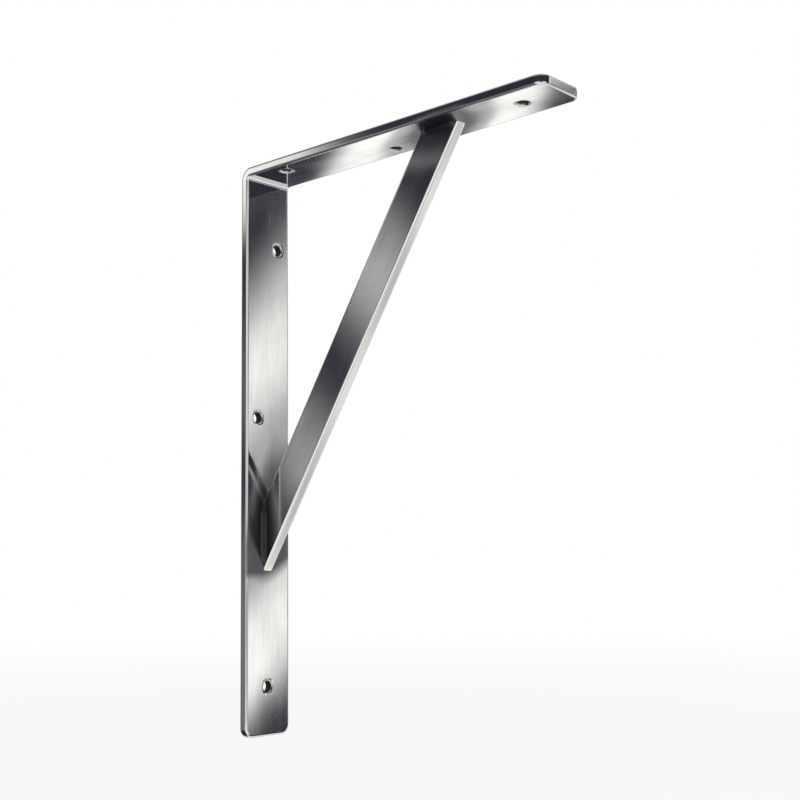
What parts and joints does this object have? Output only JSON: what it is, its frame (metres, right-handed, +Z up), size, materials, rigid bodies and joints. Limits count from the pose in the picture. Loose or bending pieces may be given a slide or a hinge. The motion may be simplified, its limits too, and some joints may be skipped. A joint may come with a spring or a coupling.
{
  "type": "gallows shelf bracket",
  "caption": "L-shaped shelf bracket of flat plated steel bar, with a flat strut on edge welded across its corner. The upright screws to a wall, the arm carries a shelf.",
  "frame": {"origin": "on the wall face, at mid-width of the upright, level with the top wall screw", "axes": "+X out from the wall along the arm, +Z up to the shelf, Y across the bar; seen from the room, +Y is to the right"},
  "size_m": [0.2, 0.03, 0.3],
  "materials": {
    "plated_bar": "bright zinc plate over rolled flat bar, smooth and reflective, with soft tone changes and lighter worn edges",
    "plated_strut": "bright zinc plate over rolled flat bar, grain along the strut",
    "plated_weld": "zinc plate over a rippled weld bead, duller than the bar"
  },
  "bodies": {
    "root": {"bent_bar": "plated_bar", "strut": "plated_strut", "weld_upper_left": "plated_weld", "weld_upper_right": "plated_weld", "weld_lower_left": "plated_weld", "weld_lower_right": "plated_weld"}
  },
  "joints": []
}
